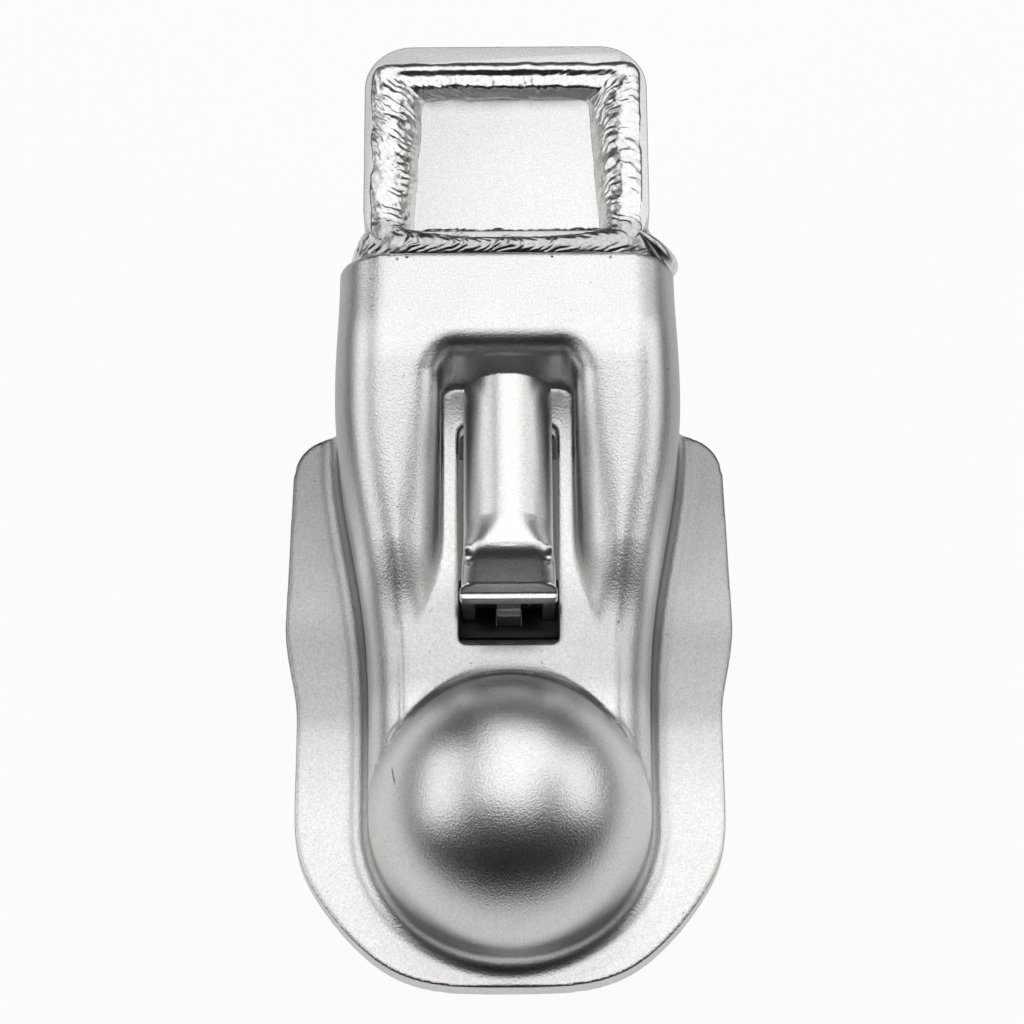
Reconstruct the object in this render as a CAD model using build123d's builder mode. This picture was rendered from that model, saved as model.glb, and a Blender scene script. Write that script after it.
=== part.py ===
from build123d import *
import math
import os

# Trailer coupling head: a stamped ball coupler welded to an upright mounting tube.
# Millimetres. Origin at the centre of the tow ball, +Y to the rear, +Z up.

# Ball socket and sheet
ball_diameter = 58.74
socket_clearance = 0.98
wall = 6.35
socket_radius = ball_diameter / 2 + socket_clearance
dome_radius = socket_radius + wall
rim_bottom = -16.0
rim_top = rim_bottom + wall

# Body channel behind the dome
body_rear = 143.8
body_top = 40.0
floor_top = 15.0
neck_half = 38.9
neck_end = 58.0
shoulder_half = 45.5
shoulder_start = 101.0
rear_half = 44.6
slope_start = 52.0
slope_end = 119.0
slope_round = 40.0
edge_round = 13.0
rim_fillet = 6.0
collar_round = 6.0
collar_tilt = 7.0
collar_rise = 0.3
collar_half = 33.0
collar_shift = 5.6

# Rim flange round the open bottom
flange_nose = -43.5
flange_nose_half = 33.0
flange_nose_back = 6.3
flange_cheek_half = 51.2
flange_cheek = -16.5
flange_waist_half = 56.2
flange_waist = 30.0
flange_wide_half = 59.7
flange_wide = 58.0
flange_rear_half = 58.0
flange_rear = 113.4
flange_corner = 11.0

# Recess and slot for the lever
recess_half = 17.75
recess_rear = 116.2
recess_corner = 4.0
recess_lip = 7.0
slot_half = 13.0
slot_front = 42.0
slot_rear = 105.0
slot_corner = 2.0

# Upright mounting tube, its cap and its bolt sleeves
tube_width = 76.2
tube_depth = 63.5
tube_corner = 13.0
tube_height = 127.0
cap_thickness = 5.0
cap_inset = 6.0
cap_fit = 0.2
bolt_hole = 17.5
bolt_drop = 32.0
bolt_rise = 18.8
sleeve_wall = 4.0

# Weld beads
cap_weld_leg = 6.6
cap_weld_throat = 2.0
weld_crown = 2.0
weld_margin = 0.5
cover_ends = 9.0
seam_front = 2.5
seam_rear = 2.0
seam_half = 31.0
side_weld_half = 42.3
side_weld_leg = 9.7
weld_end = 2.0
corner_bead = 6.0
drip_bead = 5.5

# Lever, bent from sheet, and its pivot
lever_sheet = 3.6
lever_radius = 11.7
lever_top = 31.0
lever_rear = 112.9
lever_front = 50.0
tab_top = 20.0
tab_rear = 54.5
tab_half = 12.75
tab_flare = 12.4
tab_bend = 4.2
crown_front = 63.0
crown_flat = 0.2
bend_front = 60.6
bend_corner = 5.4
leg_front = 51.5
leg_bottom = 4.0
leg_heel = 95.5
heel_lift = 2.2
leg_relief = 0.8
heel_drop = 0.3
tab_round = 1.5
pivot_y = 100.2
pivot_z = 16.5
pivot_radius = 3.0
pivot_eye = 4.0
pin_clearance = 0.05
pin_short = 0.3

# Lever bracket and its spring
bracket_sheet = 3.0
bracket_half = 17.0
bracket_gap = 4.6
ear_sheet = 3.1
ear_front = 95.0
ear_rear = 112.0
bracket_rear = 119.0
slot_gap = 0.4
spring_wire = 1.3
spring_radius = 4.0
spring_coils = 4
spring_pitch = 1.5
spring_rest = 0.1
spring_tail = 135.0
tail_slack = 0.95
leg_tip = 54.0

# Lock plunger, drive pin and guide
plunger_width = 6.35
plunger_front = 51.8
plunger_depth = 9.2
plunger_top = 11.0
plunger_tip = -14.0
plunger_round = 2.0
wedge_start = -6.0
wedge_angle = 22.0
drive_y = 57.0
drive_z = 8.0
drive_radius = 2.5
drive_slack = 0.15
drive_travel = 0.82
guide_bottom = -0.5
guide_top = 3.4
guide_front = 48.3
guide_rear = 65.0
guide_clearance = 0.2

# Ball jaw, its pin and its side plates
jaw_half = 18.4
jaw_clearance = 0.4
jaw_face_clearance = 0.55
jaw_pin_y = 42.0
jaw_pin_z = 2.5
jaw_pin_radius = 4.75
jaw_knuckle = 5.6
jaw_bottom = -14.5
jaw_heel_top = -7.5
jaw_wedge_gap = 0.5
jaw_nose = 18.0
jaw_brow = 31.0
jaw_brow_z = 1.0
jaw_nose_z = -4.0
jaw_waist_y = 46.5
jaw_waist_z = -1.5
plate_thickness = 5.0
plate_front = 35.5
plate_rear = 66.0
plate_bottom = -8.0
plate_corner = 6.0
ring_thickness = 1.2
ring_radius = 5.9
ring_groove = 0.8
groove_width = 1.3
ring_play = 0.3
pin_overhang = 1.6

tube_front = body_rear
tube_mid = tube_front + tube_depth / 2
tube_bottom = body_top - tube_height
tube_rear = tube_front + tube_depth
inner_half = tube_width / 2 - wall
inner_depth = tube_depth - 2 * wall
inner_corner = tube_corner - wall
cap_top = body_top - cap_inset
ceiling = floor_top - wall
pocket_bottom = floor_top - 2 * recess_lip
plate_inner = jaw_half + jaw_clearance
plate_outer = plate_inner + plate_thickness
ring_inner = plate_outer + ring_play
jaw_pin_half = ring_inner + ring_thickness + pin_overhang
upper_bolt = body_top - bolt_drop
lower_bolt = tube_bottom + bolt_rise
plunger_rear = plunger_front + plunger_depth
past = 5.0
near = 1.0
same_level = 0.01
steepest_lip = 0.9

os.makedirs("parts", exist_ok=True)


def finish(piece, name):
    """Labels a finished piece and writes its file."""
    piece.part.label = name
    export_step(piece.part, f"parts/{name}.step")


def plan_outline(inset):
    """Plan of the channel from the dome's middle to the rear, drawn in by an inset."""
    front = (dome_radius - inset, 0)
    with BuildSketch(Plane.XY.offset(rim_bottom)) as plan:
        with BuildLine():
            Spline(
                front,
                (neck_half - inset, neck_end),
                (shoulder_half - inset, shoulder_start),
                (rear_half - inset, body_rear),
                tangents=((0, 1), (0, 1)),
            )
            Line((rear_half - inset, body_rear), (0, body_rear))
            Line((0, 0), front)
            mirror(about=Plane.YZ)
        make_face()
    return plan.sketch


def channel(inset, low, high):
    """Channel whose top climbs from a low front to a high rear, with rounded upper edges."""
    with BuildPart() as block:
        with BuildSketch(Plane.YZ):
            with BuildLine():
                Polyline((0, low), (0, rim_bottom), (body_rear, rim_bottom), (body_rear, high))
                FilletPolyline(
                    (0, low), (slope_start, low), (slope_end, high), (body_rear, high), radius=slope_round
                )
            make_face()
        extrude(amount=shoulder_half + past, both=True)
        add(plan_outline(inset))
        extrude(amount=body_top - rim_bottom + past, mode=Mode.INTERSECT)
        crest = block.edges().filter_by(
            lambda e: (e @ 0.5).Z > low - near
            and abs((e @ 0.5).X) > dome_radius / 2
            and near < (e @ 0.5).Y < body_rear - near
        )
        fillet(crest, edge_round - inset)
    return block.part


def dome(radius):
    """Half ball on a short straight skirt, turned about the ball's upright axis."""
    with BuildPart() as cup:
        with BuildSketch(Plane.XZ):
            with BuildLine():
                Polyline((0, radius), (0, rim_bottom), (radius, rim_bottom), (radius, 0))
                RadiusArc((radius, 0), (0, radius), -radius)
            make_face()
        revolve(axis=Axis.Z)
    return cup.part


# Collar that eases the dome into the channel behind it, turned about a tilted axis
tilt = math.radians(collar_tilt)
collar_reach = dome_radius + collar_round
collar_angle = math.asin((floor_top + collar_rise + collar_round * math.cos(tilt)) / collar_reach) - tilt
collar_radius = collar_reach * math.cos(collar_angle)
collar_height = collar_reach * math.sin(collar_angle)
with BuildPart() as collar:
    with BuildSketch(Plane.XZ):
        with BuildLine():
            Polyline(
                (collar_radius, collar_height - collar_round),
                (collar_radius, collar_height - 2 * collar_round),
                (dome_radius - wall / 2, collar_height - 2 * collar_round),
                (dome_radius * math.cos(collar_angle), dome_radius * math.sin(collar_angle)),
            )
            RadiusArc(
                (dome_radius * math.cos(collar_angle), dome_radius * math.sin(collar_angle)),
                (collar_radius, collar_height - collar_round),
                -collar_round,
            )
        make_face()
    revolve(axis=Axis.Z)
    with BuildSketch(Plane.XY.offset(-collar_reach)):
        with Locations((0, collar_shift)):
            Circle(collar_half)
        with Locations((0, collar_reach / 2)):
            Rectangle(2 * collar_reach, collar_reach, mode=Mode.INTERSECT)
    extrude(amount=2 * collar_reach, mode=Mode.INTERSECT)

# Channel with a deep pocket, whose rim is rounded as the plate bends into the recess
with BuildPart() as shoulders:
    add(channel(0, floor_top, body_top))
    with BuildSketch(Plane.XY.offset(pocket_bottom)) as recess_plan:
        with Locations((0, recess_rear / 2)):
            Rectangle(2 * recess_half, recess_rear)
        fillet(recess_plan.vertices().group_by(Axis.Y)[-1], recess_corner)
    extrude(amount=body_top, mode=Mode.SUBTRACT)
    lip = shoulders.edges().filter_by(
        lambda e: (e @ 0.5).Z > floor_top - near
        and abs((e @ 0.5).X) < recess_half + near
        and near < (e @ 0.5).Y < recess_rear + near
        and abs((e % 0.5).Z) < steepest_lip
    )
    fillet(lip, recess_lip)

# Hollow under the channel, which leaves the plate's thickness round the recess
with BuildPart() as hollow:
    add(channel(wall, floor_top - wall, body_top - wall))
    with BuildSketch(Plane.XY.offset(ceiling)):
        with Locations((0, (recess_rear + wall) / 2)):
            Rectangle(2 * (recess_half + wall), recess_rear + wall)
    extrude(amount=body_top, mode=Mode.SUBTRACT)

# Coupler body: dome, channel and rim pressed from one plate
with BuildPart() as coupler_body:
    add(shoulders.part)
    with BuildSketch(Plane.XY.offset(pocket_bottom)):
        with Locations((0, (recess_rear + recess_lip) / 2)):
            Rectangle(2 * (recess_half + recess_lip) + wall, recess_rear + recess_lip)
    extrude(amount=floor_top - pocket_bottom)
    add(dome(dome_radius))
    add(collar.part.rotate(Axis.X, collar_tilt))
    with BuildSketch(Plane.XY.offset(rim_bottom)):
        with BuildLine():
            nose_end = (flange_nose_half, flange_nose + flange_nose_back)
            cheek = (flange_cheek_half, flange_cheek)
            waist = (flange_waist_half, flange_waist)
            wide = (flange_wide_half, flange_wide)
            Spline((0, flange_nose), nose_end, cheek, waist, tangents=((1, 0), (0, 1)))
            Spline(waist, wide, tangents=((0, 1), (0, 1)))
            Polyline(wide, (flange_rear_half, flange_rear), (0, flange_rear))
            mirror(about=Plane.YZ)
        make_face()
    extrude(amount=wall)
    root = coupler_body.edges().filter_by(
        lambda e: abs((e @ 0.5).Z - rim_top) < same_level
        and -dome_radius - near < (e @ 0.5).Y < flange_rear - near
        and abs((e @ 0.5).X) < shoulder_half + near
    )
    fillet(root, rim_fillet)
    with BuildSketch(Plane.XY.offset(rim_bottom)):
        with BuildLine():
            corner_side = (flange_rear_half, flange_rear - flange_corner)
            corner_back = (flange_rear_half - flange_corner, flange_rear)
            RadiusArc(corner_side, corner_back, -flange_corner)
            corner_out = flange_rear_half + past
            Polyline(corner_back, (corner_out, flange_rear), (corner_out, corner_side[1]), corner_side)
        make_face()
        mirror(about=Plane.YZ)
    extrude(amount=wall + rim_fillet, mode=Mode.SUBTRACT)
    add(hollow.part, mode=Mode.SUBTRACT)
    add(dome(socket_radius), mode=Mode.SUBTRACT)
    with BuildSketch(Plane.XY.offset(ceiling)):
        with Locations((0, (slot_front + slot_rear) / 2)):
            RectangleRounded(2 * slot_half, slot_rear - slot_front, slot_corner)
    extrude(amount=wall, mode=Mode.SUBTRACT)
finish(coupler_body, "coupler_body")

# Mounting tube: welded square tube with two cross holes for bolts
with BuildPart() as mount_tube:
    with BuildSketch(Plane.XY.offset(tube_bottom)):
        with Locations((0, tube_mid)):
            RectangleRounded(tube_width, tube_depth, tube_corner)
            RectangleRounded(2 * inner_half, inner_depth, inner_corner, mode=Mode.SUBTRACT)
    extrude(amount=tube_height)
    with BuildSketch(Plane.YZ):
        with Locations((tube_mid, upper_bolt), (tube_mid, lower_bolt)):
            Circle(bolt_hole / 2)
    extrude(amount=tube_width, both=True, mode=Mode.SUBTRACT)
finish(mount_tube, "mount_tube")

# Bolt sleeves: spacers that keep the bolts from pinching the tube
for sleeve_name, height in (("upper_bolt_sleeve", upper_bolt), ("lower_bolt_sleeve", lower_bolt)):
    with BuildPart() as sleeve:
        with BuildSketch(Plane.YZ):
            with Locations((tube_mid, height)):
                Circle(bolt_hole / 2 + sleeve_wall)
                Circle(bolt_hole / 2, mode=Mode.SUBTRACT)
        extrude(amount=inner_half, both=True)
    finish(sleeve, sleeve_name)

# Cap: plate set into the upper end of the tube
with BuildPart() as tube_cap:
    with BuildSketch(Plane.XY.offset(cap_top - cap_thickness)):
        with Locations((0, tube_mid)):
            RectangleRounded(2 * (inner_half - cap_fit), inner_depth - 2 * cap_fit, inner_corner - cap_fit)
    extrude(amount=cap_thickness)
finish(tube_cap, "tube_cap")

# Cap weld: fillet round the cap, with a crown over the tube's side walls
with BuildPart() as cap_weld:
    with BuildSketch(Plane.XY.offset(cap_top)):
        with Locations((0, tube_mid)):
            RectangleRounded(2 * inner_half, inner_depth, inner_corner)
    extrude(amount=cap_inset)
    with BuildSketch(Plane.XY.offset(cap_top)):
        with Locations((0, tube_mid)):
            RectangleRounded(
                2 * (inner_half - cap_weld_leg), inner_depth - 2 * cap_weld_leg, inner_corner
            )
    with BuildSketch(Plane.XY.offset(body_top)):
        with Locations((0, tube_mid)):
            RectangleRounded(
                2 * (inner_half - cap_weld_throat), inner_depth - 2 * cap_weld_throat, inner_corner
            )
    loft(mode=Mode.SUBTRACT)
    with BuildSketch(Plane.XZ.offset(-(tube_rear - cover_ends))):
        with BuildLine():
            cover_in = (inner_half - cap_weld_throat, body_top)
            cover_out = (tube_width / 2 - weld_margin, body_top)
            SagittaArc(cover_in, cover_out, weld_crown)
            Line(cover_out, cover_in)
        make_face()
        mirror(about=Plane.YZ)
    extrude(amount=tube_depth - 2 * cover_ends)
finish(cap_weld, "cap_weld")

# Seam weld: bead over the joint of body and tube and down both sides, with a drip at one corner
with BuildPart() as seam_weld:
    with BuildSketch(Plane.YZ):
        with BuildLine():
            seam_start = (tube_front - seam_front, body_top)
            seam_end = (tube_front + wall + seam_rear, body_top)
            SagittaArc(seam_start, seam_end, weld_crown)
            Line(seam_end, seam_start)
        make_face()
    extrude(amount=seam_half, both=True)
    with BuildSketch(Plane.XY.offset(rim_bottom + weld_end)):
        with BuildLine():
            Polyline(
                (tube_width / 2 - tube_corner, tube_front),
                (side_weld_half, tube_front),
                (tube_width / 2 - weld_margin, tube_front + side_weld_leg),
                (tube_width / 2 - tube_corner, tube_front + tube_corner),
                close=True,
            )
        make_face()
        mirror(about=Plane.YZ)
    extrude(amount=body_top - rim_bottom - 2 * weld_end)
    with Locations(
        (seam_half + corner_bead / 2, tube_front + corner_bead / 2, body_top - corner_bead / 2),
        (-seam_half - corner_bead / 2, tube_front + corner_bead / 2, body_top - corner_bead / 2),
    ):
        Sphere(corner_bead)
    with Locations((side_weld_half - drip_bead / 2, tube_front, body_top - drip_bead)):
        Sphere(drip_bead)
    add(coupler_body.part, mode=Mode.SUBTRACT)
    with BuildSketch(Plane.XY.offset(tube_bottom)):
        with Locations((0, tube_mid)):
            RectangleRounded(tube_width, tube_depth, tube_corner)
    extrude(amount=tube_height, mode=Mode.SUBTRACT)
finish(seam_weld, "seam_weld")

# Folded form of the lever
lever_slope = (lever_top - tab_top) / (crown_front - tab_rear)
slope_shift = lever_sheet * (math.hypot(1, lever_slope) - 1) / lever_slope
bend_top = lever_top - lever_slope * (crown_front - bend_front)
tab_under = tab_top - lever_sheet
forward = (0, -1, 0)


def lever_section(y, half, top, corner, bottom):
    """Arch across the lever: two legs, two rounded corners and a top."""
    with BuildSketch(Plane.XZ.offset(-y)) as section:
        with BuildLine():
            Polyline((0, bottom), (half, bottom), (half, top - corner))
            RadiusArc((half, top - corner), (half - corner, top), -corner)
            Line((half - corner, top), (0, top))
            mirror(about=Plane.YZ)
        make_face()
    return section.sketch


def lever_form(inset, bottom, reach, shift):
    """Half round that flattens to the tab at its front, drawn in by an inset."""
    crown = (lever_radius - inset, lever_top - inset, lever_radius - inset - crown_flat, bottom)
    bend = ((lever_radius + tab_flare) / 2 - inset, bend_top - inset, bend_corner - inset, bottom)
    flat = (tab_flare - inset, tab_top - inset, tab_bend - inset, bottom)
    with BuildPart() as form:
        add(lever_section(lever_rear + reach, *crown))
        extrude(amount=lever_rear + reach - crown_front - shift, dir=forward)
        add(lever_section(crown_front + shift, *crown))
        add(lever_section(bend_front + shift, *bend))
        add(lever_section(tab_rear + shift, *flat))
        loft(ruled=True)
        add(lever_section(tab_rear + shift, *flat))
        extrude(amount=tab_rear + shift - leg_front + reach, dir=forward)
    return form.part


# Latch lever: sheet bent to an inverted U, flattened to a finger tab at its front
with BuildPart() as latch_lever:
    add(lever_form(0, leg_bottom, 0, 0))
    with BuildSketch(Plane.YZ):
        with BuildLine():
            Polyline(
                (leg_front, leg_bottom),
                (leg_front, lever_top),
                (lever_rear, lever_top),
                (lever_rear, pivot_z + heel_lift),
                (pivot_y + pivot_eye, pivot_z - heel_drop),
                (pivot_y + pivot_eye - leg_relief, pivot_z - pivot_eye),
                (leg_heel, leg_bottom),
                close=True,
            )
        make_face()
    extrude(amount=lever_radius + past, both=True, mode=Mode.INTERSECT)
    add(lever_form(lever_sheet, leg_bottom - past, past, slope_shift), mode=Mode.SUBTRACT)
    with BuildSketch(Plane.XY.offset(tab_under)):
        with Locations((0, (lever_front + tab_rear) / 2)):
            RectangleRounded(2 * tab_half, tab_rear - lever_front, tab_round)
    extrude(amount=lever_sheet)
    with BuildSketch(Plane.YZ):
        with Locations((pivot_y, pivot_z)):
            Circle(pivot_radius + pin_clearance)
        with Locations((drive_y, drive_z)):
            Circle(drive_radius + pin_clearance)
    extrude(amount=lever_radius + past, both=True, mode=Mode.SUBTRACT)
finish(latch_lever, "latch_lever")

# Where the spring's tail passes into the bracket
tail_y = pivot_y - spring_radius * math.sin(math.radians(spring_tail))
tail_z = pivot_z + spring_radius * math.cos(math.radians(spring_tail))

# Pivot bracket: plate welded under the floor, with two ears that stand up inside the lever
bracket_bottom = ceiling - bracket_sheet
with BuildPart() as pivot_bracket:
    with BuildSketch(Plane.XY.offset(bracket_bottom)):
        with Locations((0, (slot_rear + slot_gap + bracket_rear) / 2)):
            Rectangle(2 * bracket_half, bracket_rear - slot_rear - slot_gap)
    extrude(amount=bracket_sheet)
    for side_plane in (Plane.YZ.offset(bracket_gap), Plane.YZ.offset(-bracket_gap - ear_sheet)):
        with BuildSketch(side_plane):
            with BuildLine():
                Polyline(
                    (ear_front, bracket_bottom),
                    (ear_rear, bracket_bottom),
                    (ear_rear, ceiling),
                    (slot_rear - slot_gap, ceiling),
                    (slot_rear - slot_gap, pivot_z - pivot_eye / 2),
                    (pivot_y, pivot_z),
                    (pivot_y - pivot_eye, pivot_z),
                    close=True,
                )
            make_face()
            with Locations((pivot_y, pivot_z)):
                Circle(pivot_eye)
                Circle(pivot_radius + pin_clearance, mode=Mode.SUBTRACT)
            with Locations((tail_y, tail_z)):
                Circle(spring_wire / 2 + tail_slack, mode=Mode.SUBTRACT)
        extrude(amount=ear_sheet)
finish(pivot_bracket, "pivot_bracket")


def cross_pin(name, y, z, radius, half_length):
    """Plain round pin that lies across the body."""
    with BuildPart() as pin:
        with BuildSketch(Plane.YZ):
            with Locations((y, z)):
                Circle(radius)
        extrude(amount=half_length, both=True)
    finish(pin, name)


cross_pin("pivot_pin", pivot_y, pivot_z, pivot_radius, lever_radius - pin_short)
cross_pin("drive_pin", drive_y, drive_z, drive_radius, lever_radius - pin_short)

# Lock plunger: flat bar with a wedge tip that backs up the jaw
wedge_run = math.tan(math.radians(wedge_angle))
with BuildPart() as lock_plunger:
    with BuildSketch(Plane.YZ):
        with BuildLine():
            Polyline(
                (plunger_front, plunger_top),
                (plunger_rear, plunger_top),
                (plunger_rear, plunger_tip),
                (plunger_front + (wedge_start - plunger_tip) * wedge_run, plunger_tip),
                (plunger_front, wedge_start),
                close=True,
            )
        make_face()
        with Locations((drive_y - drive_travel / 2, drive_z)):
            SlotCenterToCenter(drive_travel, 2 * (drive_radius + drive_slack), mode=Mode.SUBTRACT)
    extrude(amount=plunger_width / 2, both=True)
    fillet(lock_plunger.edges().filter_by(Axis.X).group_by(Axis.Z)[-1], plunger_round)
finish(lock_plunger, "lock_plunger")

# Plunger guide: bar with a window, welded between the side plates
with BuildPart() as plunger_guide:
    with BuildSketch(Plane.XY.offset(guide_bottom)):
        with Locations((0, (guide_front + guide_rear) / 2)):
            Rectangle(2 * plate_inner, guide_rear - guide_front)
        with Locations((0, (plunger_front + plunger_rear) / 2)):
            Rectangle(
                plunger_width + 2 * guide_clearance,
                plunger_depth + 2 * guide_clearance,
                mode=Mode.SUBTRACT,
            )
    extrude(amount=guide_top - guide_bottom)
finish(plunger_guide, "plunger_guide")

# Side plates: welded under the floor, one each side of the jaw
for plate_name, inner_face in (("right_side_plate", plate_inner), ("left_side_plate", -plate_outer)):
    with BuildPart() as side_plate:
        with BuildSketch(Plane.YZ.offset(inner_face)) as plate_face:
            with Locations(((plate_front + plate_rear) / 2, (plate_bottom + ceiling) / 2)):
                Rectangle(plate_rear - plate_front, ceiling - plate_bottom)
            fillet(plate_face.vertices().group_by(Axis.Z)[0], plate_corner)
            with Locations((jaw_pin_y, jaw_pin_z)):
                Circle(jaw_pin_radius + pin_clearance, mode=Mode.SUBTRACT)
        extrude(amount=plate_thickness)
    finish(side_plate, plate_name)

# Ball jaw: casting with a hollow ball face, hung on its pin
with BuildPart() as ball_jaw:
    with BuildSketch(Plane.YZ):
        with BuildLine():
            Polyline(
                (jaw_nose, jaw_bottom),
                (plunger_front + (wedge_start - jaw_bottom) * wedge_run - jaw_wedge_gap, jaw_bottom),
                (plunger_front + (wedge_start - jaw_heel_top) * wedge_run - jaw_wedge_gap, jaw_heel_top),
                (jaw_waist_y, jaw_waist_z),
                (jaw_pin_y, jaw_pin_z),
                (jaw_brow, jaw_brow_z),
                (jaw_nose, jaw_nose_z),
                close=True,
            )
        make_face()
        with Locations((jaw_pin_y, jaw_pin_z)):
            Circle(jaw_knuckle)
            Circle(jaw_pin_radius + pin_clearance, mode=Mode.SUBTRACT)
    extrude(amount=jaw_half, both=True)
    Sphere(ball_diameter / 2 + jaw_face_clearance, mode=Mode.SUBTRACT)
finish(ball_jaw, "ball_jaw")

# Jaw pin with a groove near each end, and the rings that sit in the grooves
with BuildPart() as jaw_pin:
    with BuildSketch(Plane.YZ):
        with Locations((jaw_pin_y, jaw_pin_z)):
            Circle(jaw_pin_radius)
    extrude(amount=jaw_pin_half, both=True)
    for groove_plane in (Plane.YZ.offset(ring_inner), Plane.YZ.offset(-ring_inner - groove_width)):
        with BuildSketch(groove_plane):
            with Locations((jaw_pin_y, jaw_pin_z)):
                Circle(jaw_pin_radius + past)
                Circle(jaw_pin_radius - ring_groove, mode=Mode.SUBTRACT)
        extrude(amount=groove_width, mode=Mode.SUBTRACT)
finish(jaw_pin, "jaw_pin")

for ring_name, ring_face in (("right_pin_ring", ring_inner), ("left_pin_ring", -ring_inner - ring_thickness)):
    with BuildPart() as pin_ring:
        with BuildSketch(Plane.YZ.offset(ring_face)):
            with Locations((jaw_pin_y, jaw_pin_z)):
                Circle(ring_radius)
                Circle(jaw_pin_radius - ring_groove + pin_clearance, mode=Mode.SUBTRACT)
        extrude(amount=ring_thickness)
    finish(pin_ring, ring_name)

# Lever spring: torsion spring on the pivot pin, with its tail in the bracket and its leg on the plunger
leg_reach = pivot_y - leg_tip
leg_drop = pivot_z - plunger_top - spring_wire / 2 - spring_rest
leg_span = math.hypot(leg_reach, leg_drop)
leg_angle = math.degrees(math.atan2(leg_drop, leg_reach) + math.asin(spring_radius / leg_span))
coil_turns = spring_coils + (leg_angle - spring_tail) / 360
coil_length = coil_turns * spring_pitch
pivot_axis = Axis((0, pivot_y, pivot_z), (1, 0, 0))
with BuildPart() as lever_spring:
    with BuildLine():
        coil = Helix(
            pitch=spring_pitch,
            height=coil_length,
            radius=spring_radius,
            center=(-coil_length / 2, pivot_y, pivot_z),
            direction=(1, 0, 0),
            mode=Mode.PRIVATE,
        ).rotate(pivot_axis, spring_tail)
        add(coil)
    with BuildSketch(Plane(origin=coil @ 0, z_dir=coil % 0)):
        Circle(spring_wire / 2)
    sweep()
    with BuildSketch(Plane(origin=coil @ 1, z_dir=coil % 1)):
        Circle(spring_wire / 2)
    extrude(amount=math.sqrt(leg_span**2 - spring_radius**2))
    with BuildSketch(Plane.YZ.offset(-bracket_gap - ear_sheet)):
        with Locations((tail_y, tail_z)):
            Circle(spring_wire / 2)
    extrude(amount=bracket_gap + ear_sheet - coil_length / 2)
finish(lever_spring, "lever_spring")
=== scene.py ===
import math

import bmesh
import bpy
from mathutils import Matrix, Vector


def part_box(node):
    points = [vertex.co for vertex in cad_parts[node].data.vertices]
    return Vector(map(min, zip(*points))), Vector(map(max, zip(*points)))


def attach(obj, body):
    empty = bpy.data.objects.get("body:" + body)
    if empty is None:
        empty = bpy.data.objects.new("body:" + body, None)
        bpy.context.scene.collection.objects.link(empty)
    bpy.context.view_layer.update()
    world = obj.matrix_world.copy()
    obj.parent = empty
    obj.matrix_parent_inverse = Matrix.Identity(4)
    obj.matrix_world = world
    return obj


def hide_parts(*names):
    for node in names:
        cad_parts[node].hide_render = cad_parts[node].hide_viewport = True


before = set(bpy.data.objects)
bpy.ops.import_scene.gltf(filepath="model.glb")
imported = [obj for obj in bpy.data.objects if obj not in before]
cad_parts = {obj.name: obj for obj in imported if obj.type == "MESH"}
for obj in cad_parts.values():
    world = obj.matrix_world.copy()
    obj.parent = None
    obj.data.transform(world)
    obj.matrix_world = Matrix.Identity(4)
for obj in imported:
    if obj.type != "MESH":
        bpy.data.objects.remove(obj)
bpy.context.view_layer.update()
scene = bpy.context.scene
scene.view_settings.view_transform = "Standard"

# Coupler body: one heavy plate, pressed into a ball dome, a channel and a wide rim,
# then zinc plated. The plating rounds every edge and leaves a fine grained satin skin.
body_voxel = 0.00066
body_ease = 5
body_thinning = 0.5
dome_radius = 0.0367
dome_band = 0.0004
dome_rear_limit = 0.035
dome_fade = (0.0012, 0.0004)
dome_polish = 0.01
swell_height = 0.0030
swell_along = (0.036, 0.068, 0.119)
swell_aside = (0.020, 0.030)
swell_above = (-0.006, 0.010)
zinc_colour = (0.88, 0.875, 0.86, 1)
zinc_shade = (0.71, 0.705, 0.69, 1)
speck_scale = 620.0
speck_share = (0.76, 0.82)
speck_tone = (1.0, 0.55)
fleck_share = (0.3, 0.7)
fleck_tone = (0.84, 1.10)
# Painted shade: tints that darken the body's colour towards the rim's rear, in the crease where the body's
# sides meet the rim, on the saddle, at the slot's notch, on the dome's rear, at the shoulders' feet and on
# the recess walls, standing in for the shade that falls there.
rim_painted_shade = (0.33, 0.33, 0.335, 1)
crease_painted_shade = (0.66, 0.66, 0.665, 1)
saddle_painted_shade = (0.76, 0.76, 0.76, 1)
notch_painted_shade = (0.55, 0.55, 0.55, 1)
dome_rear_painted_shade = (0.42, 0.42, 0.425, 1)
shoulder_painted_shade = (0.60, 0.60, 0.605, 1)
recess_wall_painted_shade = (0.42, 0.42, 0.425, 1)
scratch_tint = (0.22, 0.22, 0.23, 1)
scratch_middle = (-0.0295, 0.0028, 0.0215)
scratch_heading = (0.156, -0.931, 0.332)
scratch_half_width = (0.00045, 0.0001)
scratch_half_length = (0.0032, 0.0018)

# Each place's soft edges, as an axis, where a rise starts and where it ends.
dome_rear_edge = ("Y", 0.014, 0.032)
shoulder_foot = ("Z", 0.002, 0.012)
recess_walls = (("Z", 0.0155, 0.018), ("Z", 0.036, 0.028), ("Y", 0.052, 0.075), ("Y", 0.116, 0.108))
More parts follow.
